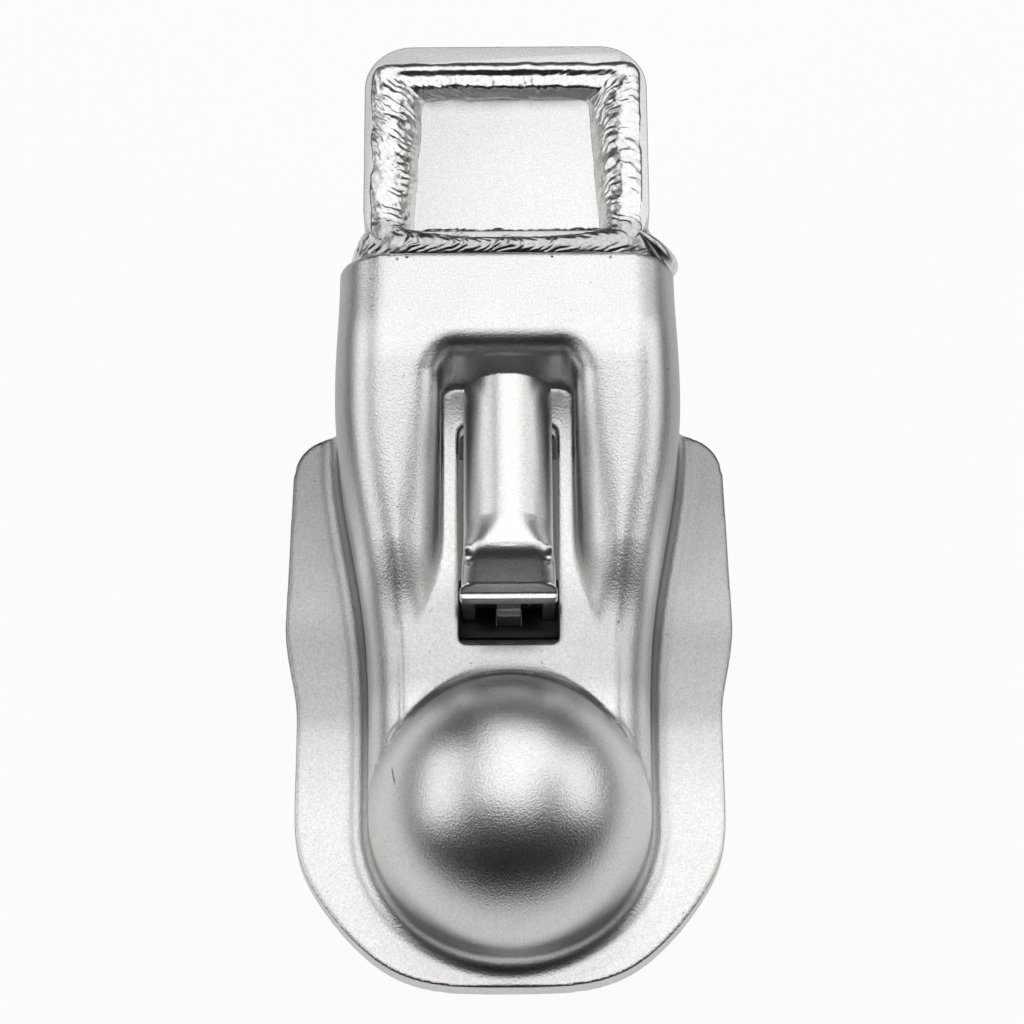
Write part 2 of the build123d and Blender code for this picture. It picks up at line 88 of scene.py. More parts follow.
# Places where painted shade darkens the body's colour, each with its tint.
painted_shade_places = (
    (saddle_painted_shade, (("Y", 0.024, 0.034), ("Y", 0.066, 0.050), ("Z", 0.022, 0.018))),
    (
        notch_painted_shade,
        (("X", -0.012, -0.003), ("X", 0.012, 0.003), ("Y", 0.0375, 0.0415), ("Y", 0.0450, 0.0430)),
    ),
    (shoulder_painted_shade, (shoulder_foot, ("X", -0.0375, -0.0425))),
    (shoulder_painted_shade, (shoulder_foot, ("X", 0.0375, 0.0425))),
    (rim_painted_shade, (("Z", -0.008, -0.0105), ("Y", 0.015, 0.112))),
    (crease_painted_shade, (("Z", -0.0115, -0.008), ("Z", 0.004, -0.004), ("Y", 0.0, 0.03))),
    (recess_wall_painted_shade, (*recess_walls, ("X", -0.0240, -0.0205), ("X", -0.0160, -0.0172))),
    (recess_wall_painted_shade, (*recess_walls, ("X", 0.0240, 0.0205), ("X", 0.0160, 0.0172))),
)


def plating_grain():
    """Group for plated steel: grain height, roughness and a faint change of colour."""
    group = bpy.data.node_groups.new("plating_grain", "ShaderNodeTree")
    face = group.interface
    for label, kind, start in (
        ("Light", "NodeSocketColor", zinc_colour),
        ("Shade", "NodeSocketColor", zinc_shade),
        ("Grain Size", "NodeSocketFloat", 1900.0),
        ("Cloud Size", "NodeSocketFloat", 60.0),
        ("Rough Low", "NodeSocketFloat", 0.27),
        ("Rough High", "NodeSocketFloat", 0.36),
    ):
        face.new_socket(label, in_out="INPUT", socket_type=kind).default_value = start
    for label, kind in (
        ("Colour", "NodeSocketColor"),
        ("Roughness", "NodeSocketFloat"),
        ("Height", "NodeSocketFloat"),
    ):
        face.new_socket(label, in_out="OUTPUT", socket_type=kind)
    nodes = group.nodes
    link = group.links.new
    inlet = nodes.new("NodeGroupInput")
    outlet = nodes.new("NodeGroupOutput")
    place = nodes.new("ShaderNodeTexCoord")
    grain = nodes.new("ShaderNodeTexNoise")
    grain.inputs["Detail"].default_value = 3.0
    link(place.outputs["Object"], grain.inputs["Vector"])
    link(inlet.outputs["Grain Size"], grain.inputs["Scale"])
    cloud = nodes.new("ShaderNodeTexNoise")
    cloud.inputs["Detail"].default_value = 4.0
    link(place.outputs["Object"], cloud.inputs["Vector"])
    link(inlet.outputs["Cloud Size"], cloud.inputs["Scale"])
    tone = nodes.new("ShaderNodeMix")
    tone.data_type = "RGBA"
    link(cloud.outputs["Fac"], tone.inputs["Factor"])
    link(inlet.outputs["Shade"], tone.inputs["A"])
    link(inlet.outputs["Light"], tone.inputs["B"])
    speck = nodes.new("ShaderNodeTexNoise")
    speck.inputs["Scale"].default_value = speck_scale
    speck.inputs["Detail"].default_value = 1.0
    link(place.outputs["Object"], speck.inputs["Vector"])
    spots = nodes.new("ShaderNodeMapRange")
    spots.inputs["From Min"].default_value = speck_share[0]
    spots.inputs["From Max"].default_value = speck_share[1]
    spots.inputs["To Min"].default_value = speck_tone[0]
    spots.inputs["To Max"].default_value = speck_tone[1]
    link(speck.outputs["Fac"], spots.inputs["Value"])
    dotted = nodes.new("ShaderNodeMix")
    dotted.data_type = "RGBA"
    dotted.blend_type = "MULTIPLY"
    dotted.inputs["Factor"].default_value = 1.0
    fleck = nodes.new("ShaderNodeMapRange")
    fleck.inputs["From Min"].default_value = fleck_share[0]
    fleck.inputs["From Max"].default_value = fleck_share[1]
    fleck.inputs["To Min"].default_value = fleck_tone[0]
    fleck.inputs["To Max"].default_value = fleck_tone[1]
    link(grain.outputs["Fac"], fleck.inputs["Value"])
    flecked = nodes.new("ShaderNodeMath")
    flecked.operation = "MULTIPLY"
    link(fleck.outputs["Result"], flecked.inputs[0])
    link(spots.outputs["Result"], flecked.inputs[1])
    link(tone.outputs["Result"], dotted.inputs["A"])
    link(flecked.outputs["Value"], dotted.inputs["B"])
    link(dotted.outputs["Result"], outlet.inputs["Colour"])
    rough = nodes.new("ShaderNodeMix")
    link(cloud.outputs["Fac"], rough.inputs["Factor"])
    link(inlet.outputs["Rough Low"], rough.inputs["A"])
    link(inlet.outputs["Rough High"], rough.inputs["B"])
    link(rough.outputs["Result"], outlet.inputs["Roughness"])
    link(grain.outputs["Fac"], outlet.inputs["Height"])
    return group


grain_group = plating_grain()


def plated(name, light, shade, grain_size, rough, depth):
    """Plated metal whose grain, colour and roughness come from the shared group."""
    material = bpy.data.materials.new(name)
    material.use_nodes = True
    nodes = material.node_tree.nodes
    link = material.node_tree.links.new
    surface = nodes["Principled BSDF"]
    surface.inputs["Metallic"].default_value = 1.0
    skin = nodes.new("ShaderNodeGroup")
    skin.node_tree = grain_group
    skin.inputs["Light"].default_value = light
    skin.inputs["Shade"].default_value = shade
    skin.inputs["Grain Size"].default_value = grain_size
    skin.inputs["Rough Low"].default_value = rough[0]
    skin.inputs["Rough High"].default_value = rough[1]
    bump = nodes.new("ShaderNodeBump")
    bump.inputs["Strength"].default_value = 1.0
    bump.inputs["Distance"].default_value = depth
    link(skin.outputs["Colour"], surface.inputs["Base Color"])
    link(skin.outputs["Roughness"], surface.inputs["Roughness"])
    link(skin.outputs["Height"], bump.inputs["Height"])
    link(bump.outputs["Normal"], surface.inputs["Normal"])
    return material


def merged_copy(node, name):
    """A new object with a node's mesh, its loose triangles joined."""
    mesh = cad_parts[node].data.copy()
    shell = bmesh.new()
    shell.from_mesh(mesh)
    bmesh.ops.remove_doubles(shell, verts=shell.verts, dist=1e-6)
    shell.to_mesh(mesh)
    shell.free()
    piece = bpy.data.objects.new(name, mesh)
    scene.collection.objects.link(piece)
    return piece


def settle(piece, material, body, *nodes):
    """Makes the piece's modifiers part of its mesh, and sets it in the place of its nodes."""
    ready = piece.evaluated_get(bpy.context.evaluated_depsgraph_get())
    mesh = bpy.data.meshes.new_from_object(ready)
    piece.modifiers.clear()
    piece.data = mesh
    mesh.materials.clear()
    mesh.materials.append(material)
    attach(piece, body)
    if nodes:
        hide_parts(*nodes)
    return piece


def moulded(node, name, voxel, rounds):
    """A node's form as one even skin, with its edges rounded as plating rounds them."""
    piece = merged_copy(node, name)
    skin = piece.modifiers.new("skin", "REMESH")
    skin.mode = "VOXEL"
    skin.voxel_size = voxel
    skin.use_smooth_shade = True
    ease = piece.modifiers.new("ease", "SMOOTH")
    ease.factor = 0.5
    ease.iterations = rounds
    return piece


def rise(nodes, link, value, start, end, curve="SMOOTHSTEP"):
    """Value that goes from 0 to 1 while another goes from start to end."""
    step = nodes.new("ShaderNodeMapRange")
    step.interpolation_type = curve
    step.inputs["From Min"].default_value = start
    step.inputs["From Max"].default_value = end
    link(value, step.inputs["Value"])
    return step.outputs["Result"]


def times(nodes, link, first, second):
    """Product of two values."""
    step = nodes.new("ShaderNodeMath")
    step.operation = "MULTIPLY"
    link(first, step.inputs[0])
    link(second, step.inputs[1])
    return step.outputs["Value"]


def within(nodes, link, *edges):
    """Value that is 1 inside a place of the object with soft edges, and 0 outside it."""
    share = None
    for axis, start, end in edges:
        spot = nodes.new("ShaderNodeTexCoord")
        parts = nodes.new("ShaderNodeSeparateXYZ")
        link(spot.outputs["Object"], parts.inputs["Vector"])
        edge = rise(nodes, link, parts.outputs[axis], start, end)
        share = edge if share is None else times(nodes, link, share, edge)
    return share


def vector_step(nodes, link, operation, first, second=None):
    """One step of arithmetic on places; the second place is fixed."""
    step = nodes.new("ShaderNodeVectorMath")
    step.operation = operation
    link(first, step.inputs[0])
    if second is not None:
        step.inputs[1].default_value = second
    return step.outputs


def wear_and_shade_tint(nodes, link, colour, mask, tint):
    """A colour multiplied by a tint where the mask is 1, used for a scratch and for painted shade."""
    step = nodes.new("ShaderNodeMix")
    step.data_type = "RGBA"
    step.blend_type = "MULTIPLY"
    step.inputs["B"].default_value = tint
    link(mask, step.inputs["Factor"])
    link(colour, step.inputs["A"])
    return step.outputs["Result"]


def scratch_mask(nodes, link, spot):
    """Value that is 1 on a short straight scratch of the dome."""
    aside = vector_step(nodes, link, "SUBTRACT", spot, scratch_middle)["Vector"]
    off_line = vector_step(nodes, link, "CROSS_PRODUCT", aside, scratch_heading)["Vector"]
    width = vector_step(nodes, link, "LENGTH", off_line)["Value"]
    length = nodes.new("ShaderNodeMath")
    length.operation = "ABSOLUTE"
    link(vector_step(nodes, link, "DOT_PRODUCT", aside, scratch_heading)["Value"], length.inputs[0])
    beside = rise(nodes, link, width, *scratch_half_width, curve="LINEAR")
    along = rise(nodes, link, length.outputs["Value"], *scratch_half_length, curve="LINEAR")
    return times(nodes, link, beside, along)


def body_zinc():
    """Plating of the body: smoother on the stretched dome, with painted shade in creases, along the rim and
    in other shaded places.
    """
    material = plated("bright_zinc", zinc_colour, zinc_shade, 1900.0, (0.27, 0.36), 0.00009)
    nodes = material.node_tree.nodes
    link = material.node_tree.links.new
    skin = next(n for n in nodes if n.type == "GROUP")
    surface = nodes["Principled BSDF"]
    spot = nodes.new("ShaderNodeTexCoord").outputs["Object"]
    reach = vector_step(nodes, link, "LENGTH", spot)["Value"]
    on_dome = rise(nodes, link, reach, dome_radius + dome_fade[0], dome_radius + dome_fade[1])
    dome_rear = times(nodes, link, on_dome, within(nodes, link, dome_rear_edge))
    tinted = wear_and_shade_tint(nodes, link, skin.outputs["Colour"], scratch_mask(nodes, link, spot), scratch_tint)
    # Painted shade on the dome's rear and at each listed place.
    tinted = wear_and_shade_tint(nodes, link, tinted, dome_rear, dome_rear_painted_shade)
    for tint, edges in painted_shade_places:
        tinted = wear_and_shade_tint(nodes, link, tinted, within(nodes, link, *edges), tint)
    link(tinted, surface.inputs["Base Color"])
    polish = nodes.new("ShaderNodeMath")
    polish.operation = "MULTIPLY"
    polish.inputs[1].default_value = -dome_polish
    link(on_dome, polish.inputs[0])
    smoother = nodes.new("ShaderNodeMath")
    link(skin.outputs["Roughness"], smoother.inputs[0])
    link(polish.outputs["Value"], smoother.inputs[1])
    link(smoother.outputs["Value"], surface.inputs["Roughness"])
    return material


def ramp(value, start, end):
    """Smooth rise from 0 to 1 between two values."""
    share = min(max((value - start) / (end - start), 0.0), 1.0)
    return share * share * (3 - 2 * share)


zinc = body_zinc()
body_skin = moulded("coupler_body", "coupler_skin", body_voxel, body_ease)
thin = body_skin.modifiers.new("thin", "DECIMATE")
thin.ratio = body_thinning
settle(body_skin, zinc, "coupler", "coupler_body")
body_skin.data.shade_smooth()
swell_front, swell_full, swell_rear = swell_along
for point in body_skin.data.vertices:
    reach = point.co.length
    if abs(reach - dome_radius) < dome_band and point.co.z > 0 and point.co.y < dome_rear_limit:
        point.co *= dome_radius / reach
    along = point.co.y
    if swell_front < along < swell_rear and point.co.z > swell_above[0]:
        falling = min((swell_rear - along) / (swell_rear - swell_full), 1.0)
        swell = ramp(along, swell_front, swell_full) * falling
        beside = ramp(abs(point.co.x), *swell_aside) * ramp(point.co.z, *swell_above)
        point.co.z += swell_height * swell * beside

# Mounting tube with its cap and bolt sleeves: square steel tube, sawn to length, with a
# plate let into its upper end and spacers welded across it for the bolts.
sawn_edge = 0.0006
tube_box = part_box("mount_tube")
sharp_angle = math.radians(35)


def eased(node, name, edge):
    """A node's form with its flat faces joined and its sharp edges broken."""
    piece = merged_copy(node, name)
    shell = bmesh.new()
    shell.from_mesh(piece.data)
    bmesh.ops.dissolve_limit(
        shell, angle_limit=math.radians(0.5), verts=shell.verts, edges=shell.edges
    )
    shell.to_mesh(piece.data)
    shell.free()
    round_over = piece.modifiers.new("edges", "BEVEL")
    round_over.width = edge
    round_over.segments = 3
    round_over.limit_method = "ANGLE"
    round_over.angle_limit = sharp_angle
    round_over.harden_normals = False
    return piece


def smooth_faces(piece, angle):
    """Smooth shading that keeps edges sharper than the angle."""
    piece.data.shade_smooth()
    piece.data.set_sharp_from_angle(angle=angle)


tube_zinc = plated(
    "tube_zinc", (0.74, 0.735, 0.72, 1), (0.60, 0.595, 0.585, 1), 1900.0, (0.28, 0.38), 0.00006
)
cap_zinc = plated(
    "cap_zinc", (0.93, 0.925, 0.91, 1), (0.89, 0.885, 0.87, 1), 2300.0, (0.40, 0.46), 0.00010
)
for node, material, edge, slot in (
    ("mount_tube", tube_zinc, sawn_edge, "zinc_plate"),
    ("tube_cap", cap_zinc, sawn_edge / 2, "zinc_plate"),
    ("upper_bolt_sleeve", tube_zinc, sawn_edge / 2, "bare_steel"),
    ("lower_bolt_sleeve", tube_zinc, sawn_edge / 2, "bare_steel"),
):
    piece = eased(node, node + "_steel", edge)
    settle(piece, material, "coupler", node)
    smooth_faces(piece, sharp_angle)

# Weld beads: run by hand round the cap's edge and over the joint of body and tube, then
# plated with the rest. Each pass froze in ripples, and one corner let a drop run down.
wander_scale = 160.0
patch_scale = 240.0
patch_share = (0.35, 0.65)
patch_depth = (0.1, 1.5)
lump_scale = 130.0
toe_scale = 110.0
crest_power = 1.6
edge_power = 0.3
rear_calm = -0.8
# Painted shade: the welds' colour is darkened across the top of the joint between body and tube, where shade
# falls.
seam_painted_shade = (0.66, 0.66, 0.67, 1)
seam_place = (("Y", 0.1550, 0.1515), ("Z", 0.034, 0.039))
weld_zinc = plated(
    "weld_zinc", (0.84, 0.835, 0.82, 1), (0.74, 0.735, 0.72, 1), 900.0, (0.20, 0.30), 0.00005
)
nodes = weld_zinc.node_tree.nodes
link = weld_zinc.node_tree.links.new
weld_colour = next(n for n in nodes if n.type == "GROUP").outputs["Colour"]
weld_colour = wear_and_shade_tint(nodes, link, weld_colour, within(nodes, link, *seam_place), seam_painted_shade)
link(weld_colour, nodes["Principled BSDF"].inputs["Base Color"])


def weld_bead_tree():
    """Tree that lays a closed, rippled bead between two toe lines."""
    tree = bpy.data.node_groups.new("weld_bead", "GeometryNodeTree")
    for label, kind, start in (
        ("Toe Lines", "NodeSocketObject", None),
        ("Closed", "NodeSocketBool", True),
        ("Steps Along", "NodeSocketInt", 400),
        ("Steps Across", "NodeSocketInt", 48),
        ("Crown", "NodeSocketFloat", 0.003),
        ("Root", "NodeSocketFloat", 0.001),
        ("Ripples", "NodeSocketFloat", 60.0),
        ("Ripple Depth", "NodeSocketFloat", 0.0004),
        ("Ripple Sweep", "NodeSocketFloat", 1.0),
        ("Wander", "NodeSocketFloat", 1.0),
        ("Lump Depth", "NodeSocketFloat", 0.0008),
        ("Toe Wander", "NodeSocketFloat", 0.0008),
        ("Rear Start", "NodeSocketFloat", 1.0),
        ("Rear End", "NodeSocketFloat", 2.0),
        ("Rear Crown", "NodeSocketFloat", 0.0),
        ("Rear Step", "NodeSocketFloat", 0.0),
        ("Seed", "NodeSocketFloat", 0.0),
        ("Material", "NodeSocketMaterial", None),
    ):
        socket = tree.interface.new_socket(label, in_out="INPUT", socket_type=kind)
        if start is not None:
            socket.default_value = start
    tree.interface.new_socket("Bead", in_out="OUTPUT", socket_type="NodeSocketGeometry")
    link = tree.links.new
    given = tree.nodes.new("NodeGroupInput").outputs
    result = tree.nodes.new("NodeGroupOutput")

    def place(kind, *values, **settings):
        """Adds a node and feeds its sockets in order; None leaves a socket as it is."""
        node = tree.nodes.new(kind)
        for setting, value in settings.items():
            setattr(node, setting, value)
        for socket, value in zip([i for i in node.inputs if i.enabled], values):
            if isinstance(value, bpy.types.NodeSocket):
                link(value, socket)
            elif value is not None:
                socket.default_value = value
        return node

    def sums(operation, *values):
        """One step of arithmetic on numbers."""
        return place("ShaderNodeMath", *values, operation=operation).outputs[0]

    def vectors(operation, *values):
        """One step of arithmetic on vectors."""
        return place("ShaderNodeVectorMath", *values, operation=operation).outputs[0]

    def marked(curve, label):
        """Notes how far along its spline each point of a curve lies."""
        note = tree.nodes.new("GeometryNodeCaptureAttribute")
        note.capture_items.new("FLOAT", label)
        link(curve, note.inputs["Geometry"])
        link(tree.nodes.new("GeometryNodeSplineParameter").outputs["Factor"], note.inputs[label])
        return note.outputs["Geometry"], note.outputs[label]

    def cloud(position, scale, detail, shift):
        """Noise between 0 and 1, fixed by the seed."""
        field = place("ShaderNodeTexNoise", noise_dimensions="4D")
        link(position, field.inputs["Vector"])
        link(sums("ADD", given["Seed"], shift), field.inputs["W"])
        field.inputs["Scale"].default_value = scale
        field.inputs["Detail"].default_value = detail
        return field.outputs[0]

    ring = place("GeometryNodeCurvePrimitiveCircle", given["Steps Along"])
    run = place("GeometryNodeResampleCurve", place("GeometryNodeCurvePrimitiveLine").outputs[0])
    link(given["Steps Along"], run.inputs["Count"])
    choice = place(
        "GeometryNodeSwitch", given["Closed"], run.outputs[0], ring.outputs[0], input_type="GEOMETRY"
    )
    path, along = marked(choice.outputs[0], "Along")
    round_section = place("GeometryNodeCurvePrimitiveCircle", given["Steps Across"])
    section, across = marked(round_section.outputs[0], "Across")
    skin = tree.nodes.new("GeometryNodeCurveToMesh")
    link(path, skin.inputs["Curve"])
    link(section, skin.inputs["Profile Curve"])
    skin.inputs["Fill Caps"].default_value = True

    lines = place("GeometryNodeObjectInfo", given["Toe Lines"]).outputs["Geometry"]
    toes = []
    for index in (0, 1):
        toe = tree.nodes.new("GeometryNodeSampleCurve")
        toe.mode = "FACTOR"
        link(lines, toe.inputs["Curves"])
        link(along, toe.inputs["Factor"])
        toe.inputs["Curve Index"].default_value = index
        toes.append(toe.outputs)
    chord = vectors("SUBTRACT", toes[1]["Position"], toes[0]["Position"])
    upward = vectors("NORMALIZE", vectors("CROSS_PRODUCT", toes[0]["Tangent"], chord))
    inward = vectors("NORMALIZE", chord)

    share = sums("SUBTRACT", 1.0, sums("ABSOLUTE", sums("MULTIPLY_ADD", across, 2.0, -1.0)))
    is_top = sums("LESS_THAN", across, 0.5)
    base = vectors("MULTIPLY_ADD", chord, share, toes[0]["Position"])
    arch = sums("MULTIPLY", sums("MULTIPLY", share, 4.0), sums("SUBTRACT", 1.0, share))
    depth_y = place("ShaderNodeSeparateXYZ", base).outputs["Y"]
    rear = place(
        "ShaderNodeMapRange", depth_y, given["Rear Start"], given["Rear End"], interpolation_type="SMOOTHSTEP"
    ).outputs[0]
    crown = place("ShaderNodeMix", rear, given["Crown"], given["Rear Crown"]).outputs[0]
    ledge = sums("MULTIPLY", sums("SINE", sums("MULTIPLY", share, 4 * math.pi)), given["Rear Step"])
    rounded = sums("ADD", sums("MULTIPLY", crown, arch), sums("MULTIPLY", ledge, rear))

    shift = sums("MULTIPLY", sums("SUBTRACT", cloud(base, wander_scale, 2.0, 0.0), 0.5), given["Wander"])
    sweep = sums("MULTIPLY", arch, given["Ripple Sweep"])
    phase = sums("ADD", sums("MULTIPLY_ADD", along, given["Ripples"], sweep), shift)
    wave = sums("SINE", sums("MULTIPLY", phase, 2 * math.pi))
    crest = sums("POWER", sums("MULTIPLY_ADD", wave, 0.5, 0.5), crest_power)
    patches = cloud(base, patch_scale, 1.0, 5.0)
    patchy = place("ShaderNodeMapRange", patches, *patch_share, *patch_depth).outputs[0]
    calm = sums("MULTIPLY_ADD", rear, rear_calm, 1.0)
    depth = sums("MULTIPLY", given["Ripple Depth"], calm)
    ripple = sums("MULTIPLY", sums("MULTIPLY", crest, patchy), depth)
    lumps = sums("MULTIPLY", sums("SUBTRACT", cloud(base, lump_scale, 3.0, 9.0), 0.5), given["Lump Depth"])
    rough_top = sums("MULTIPLY", sums("ADD", ripple, lumps), sums("POWER", arch, edge_power))
    top = sums("ADD", rounded, rough_top)
    root = sums("MULTIPLY", sums("MULTIPLY", arch, given["Root"]), -1.0)
    height = place("ShaderNodeMix", is_top, root, top).outputs[0]
    drift = sums("MULTIPLY", sums("SUBTRACT", cloud(base, toe_scale, 2.0, 13.0), 0.5), given["Toe Wander"])
    laid = vectors("MULTIPLY_ADD", inward, drift, vectors("MULTIPLY_ADD", upward, height, base))

    placed = tree.nodes.new("GeometryNodeSetPosition")
    link(skin.outputs[0], placed.inputs["Geometry"])
    link(laid, placed.inputs["Position"])
    smooth = place("GeometryNodeSetShadeSmooth", placed.outputs[0])
    whole = place("GeometryNodeRealizeInstances", smooth.outputs[0])
    painted = tree.nodes.new("GeometryNodeSetMaterial")
    link(whole.outputs[0], painted.inputs["Geometry"])
    link(given["Material"], painted.inputs["Material"])
    link(painted.outputs[0], result.inputs["Bead"])
    return tree


bead_tree = weld_bead_tree()


def toe_lines(name, closed, *lines):
    """A curve object with one smooth line for each toe of a bead."""
    curve = bpy.data.curves.new(name, "CURVE")
    curve.dimensions = "3D"
    for points in lines:
        spline = curve.splines.new("NURBS")
        spline.points.add(len(points) - 1)
        for knot, point in zip(spline.points, points):
            knot.co = (*point, 1.0)
        spline.order_u = 3
        spline.use_cyclic_u = closed
        spline.use_endpoint_u = not closed
        spline.resolution_u = 16
    guide = bpy.data.objects.new(name, curve)
    scene.collection.objects.link(guide)
    return guide


def weld_bead(name, node, guide, **sizes):
    """Lays a bead along its toe lines, in the place of a node, and takes the lines away."""
    piece = bpy.data.objects.new(name, bpy.data.meshes.new(name))
    scene.collection.objects.link(piece)
    bead = piece.modifiers.new("bead", "NODES")
    bead.node_group = bead_tree
    values = {"Toe Lines": guide, "Material": weld_zinc}
    values.update((label.replace("_", " ").title(), size) for label, size in sizes.items())
    for item in bead_tree.interface.items_tree:
        if item.in_out == "INPUT" and item.name in values:
            bead[item.identifier] = values[item.name]
    settle(piece, weld_zinc, "coupler", node)
    bpy.data.objects.remove(guide)
    return piece


def rounded_ring(half_near, half_far, near, far, corner, height):
    """Points round a four-sided ring with rounded corners, from its near side and to the right."""
    ring = []
    for x, y, to_x, to_y in (
        (half_near, near, -1, 1),
        (half_far, far, -1, -1),
        (-half_far, far, 1, -1),
        (-half_near, near, 1, 1),
    ):
        enter = (x + to_x * corner, y) if (x > 0) == (y == near) else (x, y + to_y * corner)
        leave = (x, y + to_y * corner) if (x > 0) == (y == near) else (x + to_x * corner, y)
        for px, py in (enter, (x, y), leave):
            ring.append((px, py, height))
    return ring


tube_top = tube_box[1].z
cap_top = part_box("tube_cap")[1].z
cap_toes = toe_lines(
    "cap_toes",
    True,
    rounded_ring(0.0362, 0.0364, 0.1470, 0.2022, 0.011, tube_top),
    rounded_ring(0.0247, 0.0227, 0.1500, 0.1941, 0.0065, cap_top),
)
weld_bead(
    "cap_bead", "cap_weld", cap_toes,
    closed=True, steps_along=620, steps_across=64, crown=0.0032, root=0.0012,
    ripples=74.0, ripple_depth=0.00030, ripple_sweep=-1.9, wander=4.5,
    lump_depth=0.0019, toe_wander=0.0016,
    rear_start=0.192, rear_end=0.202, rear_crown=0.0022, rear_step=0.0006, seed=2.0,
)


def both_sides(half):
    """A line's left half, and then its mirror image on the right."""
    return half + [(-x, y, z) for x, y, z in reversed(half)]


seam_toes = toe_lines(
    "seam_toes",
    False,
    both_sides([
        (-0.0426, 0.1439, -0.0130), (-0.0426, 0.1439, 0.0100), (-0.0426, 0.1439, 0.0270),
        (-0.0394, 0.1438, 0.0348), (-0.0330, 0.1436, 0.0385), (-0.0290, 0.1434, 0.0397),
        (-0.0120, 0.1434, 0.0397),
    ]),
    both_sides([
        (-0.0380, 0.1535, -0.0130), (-0.0380, 0.1535, 0.0100), (-0.0380, 0.1535, 0.0320),
        (-0.0372, 0.1520, 0.0385), (-0.0340, 0.1530, 0.0397), (-0.0262, 0.1508, 0.0396),
        (-0.0120, 0.1486, 0.0396),
    ]),
)
weld_bead(
    "seam_bead", "seam_weld", seam_toes,
    closed=False, steps_along=460, steps_across=56, crown=0.0013, root=0.0012,
    ripples=58.0, ripple_depth=0.00028, ripple_sweep=-2.2, wander=3.4,
    lump_depth=0.0010, toe_wander=0.0011, seed=7.0,
)


mm = 0.001
spatter_flatness = 0.7


def weld_drops():
    """The run of metal at the right corner and the beads of spatter, as closed forms."""
    line = bpy.data.curves.new("drop_run", "CURVE")
    line.dimensions = "3D"
    line.bevel_depth = mm
    line.bevel_resolution = 8
    line.use_fill_caps = True
    spline = line.splines.new("NURBS")
    spline.points.add(len(drop_line) - 1)
    for knot, (x, y, z, radius) in zip(spline.points, drop_line):
        knot.co = (x * mm, y * mm, z * mm, 1.0)
        knot.radius = radius
    spline.order_u = 3
    spline.use_endpoint_u = True
    spline.resolution_u = 10
    run = bpy.data.objects.new("drop_run", line)
    scene.collection.objects.link(run)
    ready = run.evaluated_get(bpy.context.evaluated_depsgraph_get())
    mesh = bpy.data.meshes.new_from_object(ready)
    bpy.data.objects.remove(run)
    shell = bmesh.new()
    shell.from_mesh(mesh)
    for x, y, z, radius in spatter:
        at = Matrix.Translation((x * mm, y * mm, z * mm)) @ Matrix.Diagonal((1, 1, spatter_flatness, 1))
        bmesh.ops.create_icosphere(shell, subdivisions=3, radius=radius * mm, matrix=at)
    for side in shell.faces:
        side.smooth = True
    bmesh.ops.recalc_face_normals(shell, faces=shell.faces)
    shell.to_mesh(mesh)
    shell.free()
    return mesh


# Places and radii in millimetres.
drop_line = (
    (35.0, 150.0, 40.0, 0.4), (38.0, 147.8, 39.3, 1.3), (41.0, 145.6, 36.0, 2.2),
    (43.2, 144.5, 31.5, 2.7), (43.8, 144.0, 28.0, 1.9), (43.8, 143.8, 25.5, 0.4),
)
spatter = (
    (-31.0, 142.6, 39.6, 0.7), (-33.2, 142.0, 38.6, 0.5), (-29.0, 141.8, 39.9, 0.45),
    (-35.4, 142.3, 36.8, 0.6), (-26.4, 142.6, 40.1, 0.55), (12.0, 142.4, 40.1, 0.45),
    (27.5, 142.0, 40.0, 0.4),
)
weld_run = bpy.data.objects.new("weld_run", weld_drops())
scene.collection.objects.link(weld_run)
settle(weld_run, weld_zinc, "coupler")

# Latch lever: sheet steel bent to a half round, then flattened and bent down at its front
# to a finger tab, which leaves a curled ear at each side of the bend.
lever_zinc = plated(
    "lever_zinc", (0.90, 0.895, 0.88, 1), (0.85, 0.845, 0.83, 1), 1900.0, (0.30, 0.37), 0.00006
)
lever_voxel = 0.00042
lever_ease = 3
lever_half = 0.0117
lever_top = 0.031
lever_corner = 0.0115
lever_front = 0.072
tab_half = 0.0124
tab_corner = 0.0042
slope_middle = (0.0606, 0.0054)
slope_low = (0.0545, 0.020)
slope_high = (0.063, lever_top)
leg_heights = (0.008, 0.017)
bend_start = 0.0645
bend_end = 0.0595
bend_slope = 1.28
flattening = (0.0588, 0.0730)
tab_line = 0.058
tab_setback = 0.7625
tab_top = 0.0202
ear_place = (0.0104, 0.0611, 0.0254)
ear_size = (0.0012, 0.0023, 0.0015)


def arch_height(x, half, top, corner):
    """Height of an arch with a flat top and rounded corners, at a distance from its middle."""
    past = min(max(abs(x) - (half - corner), 0.0), corner * 0.98)
    return top - corner + math.sqrt(corner * corner - past * past)


def between(value, *stops):
    """Straight line through stops of (place, amount)."""
    for (start, low), (end, high) in zip(stops, stops[1:]):
        if value <= end:
            share = min(max((value - start) / (end - start), 0.0), 1.0)
            return low + (high - low) * share
    return stops[-1][1]


def pressed_front(point):
    """Place of a point when the sheet's front is pressed to one slope from crown to finger tab."""
    x, y, z = point
    half = between(y, (slope_low[0], tab_half), (slope_high[0], lever_half))
    was_top = between(y, slope_low, slope_high)
    was_corner = between(y, (slope_low[0], tab_corner), slope_middle, (slope_high[0], lever_corner))
    back = y if y > tab_line else tab_line - (tab_line - y) * tab_setback
    turned = min(max(bend_start - back, 0.0), bend_start - bend_end)
    bent = lever_top - bend_slope * turned * turned / (2 * (bend_start - bend_end))
    new_top = max(bent - bend_slope * max(bend_end - back, 0.0), tab_top)
    new_corner = tab_corner + (lever_corner - tab_corner) * ramp(back, *flattening)
    reach = min(abs(x), half * 0.97)
    lift = arch_height(reach, half, new_top, new_corner) - arch_height(reach, half, was_top, was_corner)
    return x, back, z + lift * ramp(z, *leg_heights)


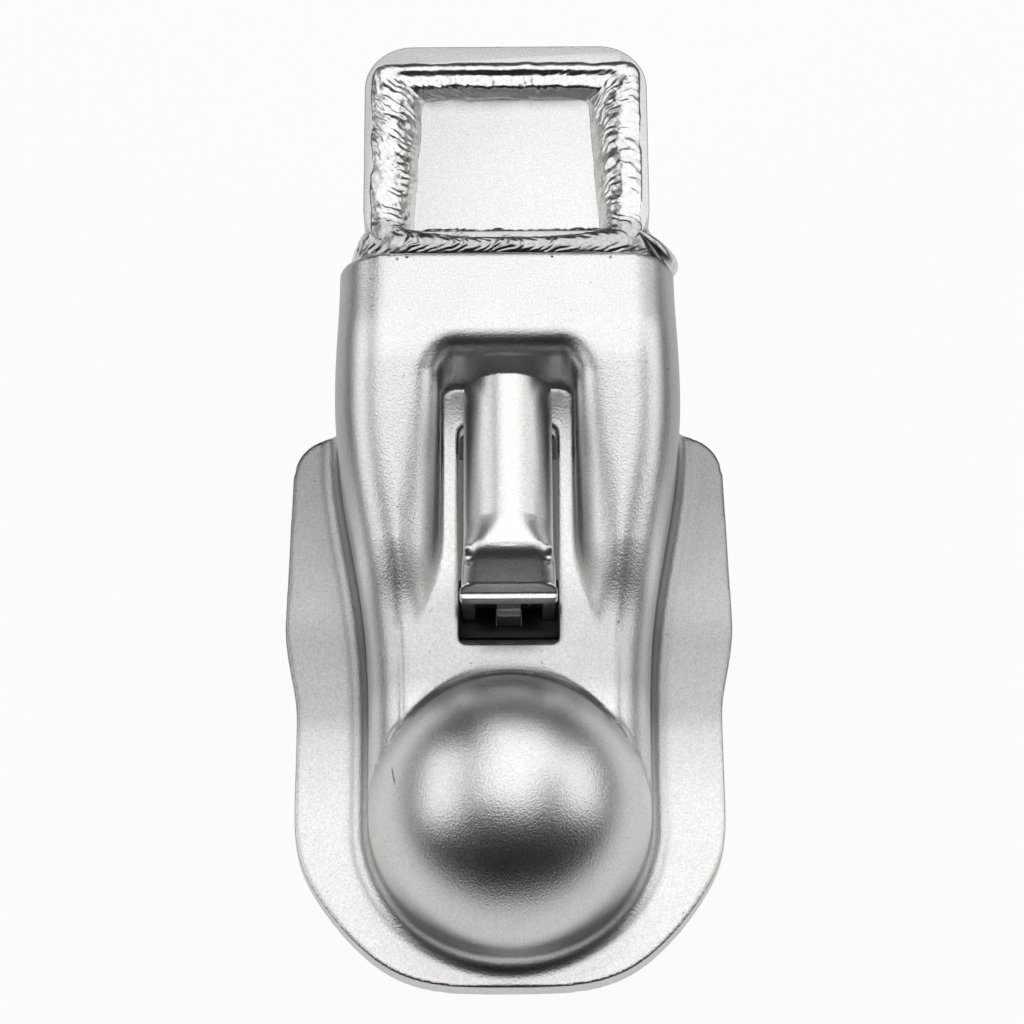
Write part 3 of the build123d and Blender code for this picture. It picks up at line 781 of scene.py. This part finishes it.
lever_skin = moulded("latch_lever", "lever_sheet", lever_voxel, lever_ease)
shell = bmesh.new()
shell.from_mesh(lever_skin.data)
for side in (-1, 1):
    ear = Matrix.Translation((side * ear_place[0], ear_place[1], ear_place[2]))
    ear = ear @ Matrix.Diagonal((*ear_size, 1))
    bmesh.ops.create_icosphere(shell, subdivisions=3, radius=1.0, matrix=ear)
shell.to_mesh(lever_skin.data)
shell.free()
settle(lever_skin, lever_zinc, "lever", "latch_lever")
for point in lever_skin.data.vertices:
    if point.co.y < lever_front:
        point.co = pressed_front(point.co)

# Works inside the body: bracket, pins, guide and plates of blackened steel, whose black also serves as
# painted shade for the dark inside of the body, a plunger and a jaw with a dull plating, and a spring of
# drawn wire wound about the lever's pin.
works_zinc = plated(
    "works_zinc", (0.66, 0.655, 0.64, 1), (0.54, 0.535, 0.525, 1), 1500.0, (0.36, 0.48), 0.00004
)
works_black_painted_shade = plated(
    "works_black_painted_shade", (0.04, 0.04, 0.04, 1), (0.025, 0.025, 0.025, 1), 1500.0, (0.40, 0.52), 0.00004
)
wire_steel = plated(
    "spring_wire", (0.42, 0.42, 0.42, 1), (0.34, 0.34, 0.34, 1), 1800.0, (0.25, 0.36), 0.00002
)
wire_angle = math.radians(50)
broken_edge = 0.0003
for body, names in (
    ("coupler", ("pivot_bracket", "pivot_pin", "plunger_guide", "left_side_plate", "right_side_plate",
                 "jaw_pin", "left_pin_ring", "right_pin_ring")),
    ("lever", ("drive_pin",)),
    ("plunger", ("lock_plunger",)),
    ("jaw", ("ball_jaw",)),
):
    for node in names:
        piece = eased(node, node + "_steel", broken_edge)
        settle(piece, works_zinc if body in ("plunger", "jaw") else works_black_painted_shade, body, node)
        smooth_faces(piece, sharp_angle)
spring_coil = merged_copy("lever_spring", "spring_coil")
settle(spring_coil, wire_steel, "lever", "lever_spring")
smooth_faces(spring_coil, wire_angle)

# Studio: a white table and backdrop, soft boxes overhead and at both sides, and a dark room
# in front. Under the body the table's white fades, so that the shadow shows, and a strip
# of it below the slot carries a painted shadow in dark grey, so the slot looks as deep as it is.
floor_half = 3.0
floor_gap = 0.0002
floor_height = tube_box[0].z - floor_gap
paper_white = (0.92, 0.92, 0.92, 1)
painted_shadow_grey = (0.14, 0.14, 0.14, 1)
glow_share = 0.95
mirrored_share = 0.5
shadow_place = (("X", -0.045, -0.006), ("X", 0.045, 0.006), ("Y", 0.01, 0.10), ("Y", 0.22, 0.14))
painted_shadow_strip = (("X", -0.024, -0.013), ("X", 0.024, 0.013), ("Y", 0.055, 0.095), ("Y", 0.150, 0.144))
floor_mesh = bpy.data.meshes.new("table")
floor_mesh.from_pydata(
    [(x * floor_half, y * floor_half, floor_height) for x, y in ((-1, -1), (1, -1), (1, 1), (-1, 1))],
    [],
    [(0, 1, 2, 3)],
)
floor = bpy.data.objects.new("table", floor_mesh)
scene.collection.objects.link(floor)
paper = bpy.data.materials.new("white_paper")
paper.use_nodes = True
nodes = paper.node_tree.nodes
link = paper.node_tree.links.new
nodes.remove(nodes["Principled BSDF"])
matt = nodes.new("ShaderNodeBsdfDiffuse")
tint = nodes.new("ShaderNodeMix")
tint.data_type = "RGBA"
tint.inputs["A"].default_value = paper_white
tint.inputs["B"].default_value = painted_shadow_grey
# Painted shadow: the strip below the slot is coloured dark grey.
link(within(nodes, link, *painted_shadow_strip), tint.inputs["Factor"])
link(tint.outputs["Result"], matt.inputs["Color"])
glow = nodes.new("ShaderNodeEmission")
glow.inputs["Color"].default_value = (1, 1, 1, 1)
glow.inputs["Strength"].default_value = 1.0
path = nodes.new("ShaderNodeLightPath")
seen = nodes.new("ShaderNodeMath")
seen.operation = "MAXIMUM"
mirrored = nodes.new("ShaderNodeMath")
mirrored.operation = "MULTIPLY"
mirrored.inputs[1].default_value = mirrored_share
link(path.outputs["Is Glossy Ray"], mirrored.inputs[0])
link(path.outputs["Is Camera Ray"], seen.inputs[0])
link(mirrored.outputs["Value"], seen.inputs[1])
share = nodes.new("ShaderNodeMath")
share.operation = "MULTIPLY"
share.inputs[1].default_value = glow_share
link(seen.outputs["Value"], share.inputs[0])
open_table = nodes.new("ShaderNodeMath")
open_table.operation = "SUBTRACT"
open_table.inputs[0].default_value = 1.0
link(within(nodes, link, *shadow_place), open_table.inputs[1])
lit_share = times(nodes, link, share.outputs["Value"], open_table.outputs["Value"])
both = nodes.new("ShaderNodeMixShader")
link(lit_share, both.inputs["Fac"])
link(matt.outputs["BSDF"], both.inputs[1])
link(glow.outputs["Emission"], both.inputs[2])
link(both.outputs["Shader"], nodes["Material Output"].inputs["Surface"])
floor_mesh.materials.append(paper)

world = bpy.data.worlds.new("studio")
scene.world = world
world.use_nodes = True
nodes = world.node_tree.nodes
link = world.node_tree.links.new
sky = nodes["Background"]
heading = nodes.new("ShaderNodeTexCoord")
room_level = 0.5
dark_level = 0.06
dark_heading = Vector((0.0, -0.78, 0.62))
dark_inner = math.radians(8)
dark_outer = math.radians(37)
facing = nodes.new("ShaderNodeVectorMath")
facing.operation = "DOT_PRODUCT"
facing.inputs[1].default_value = dark_heading.normalized()
link(heading.outputs["Generated"], facing.inputs[0])
room = nodes.new("ShaderNodeMapRange")
room.interpolation_type = "SMOOTHSTEP"
room.inputs["From Min"].default_value = math.cos(dark_outer)
room.inputs["From Max"].default_value = math.cos(dark_inner)
room.inputs["To Min"].default_value = room_level
room.inputs["To Max"].default_value = dark_level
link(facing.outputs["Value"], room.inputs["Value"])
path = nodes.new("ShaderNodeLightPath")
backdrop = nodes.new("ShaderNodeMath")
backdrop.operation = "MAXIMUM"
link(path.outputs["Is Camera Ray"], backdrop.inputs[0])
link(room.outputs["Result"], backdrop.inputs[1])
link(backdrop.outputs["Value"], sky.inputs["Strength"])

lit_point = Vector((0, 0.07, 0.02))
box_distance = 0.9
for name, direction, width, depth, level in (
    ("overhead_box", (0.06, 0.30, 0.95), 0.92, 1.36, 1.3),
    ("left_box", (-0.821, 0.115, 0.559), 0.95, 0.62, 1.2),
    ("right_box", (0.826, 0.146, 0.545), 0.8, 0.62, 1.2),
):
    lamp = bpy.data.lights.new(name, "AREA")
    lamp.shape = "RECTANGLE"
    lamp.size = width
    lamp.size_y = depth
    lamp.energy = level * math.pi * width * depth
    box = bpy.data.objects.new(name, lamp)
    heading_in = -Vector(direction).normalized()
    box.location = lit_point - heading_in * box_distance
    box.rotation_euler = heading_in.to_track_quat("-Z", "Y").to_euler()
    scene.collection.objects.link(box)

# Camera: high in front of the ball dome, as the photograph was taken, with a long lens and
# a slight roll.
camera_elevation = math.radians(65)
camera_distance = 1.0
camera_roll = math.radians(-0.35)
aim = Vector((0.001, 0.071, 0.033))
lens_length = 136.05
lens_sensor = 36.0
lens = bpy.data.cameras.new("camera")
lens.sensor_width = lens_sensor
lens.lens = lens_length
camera = bpy.data.objects.new("camera", lens)
offset = Vector((0, -math.cos(camera_elevation), math.sin(camera_elevation))) * camera_distance
camera.location = aim + offset
camera.rotation_euler = (-offset).to_track_quat("-Z", "Y").to_euler()
camera.rotation_euler.rotate_axis("Z", camera_roll)
scene.collection.objects.link(camera)
scene.camera = camera
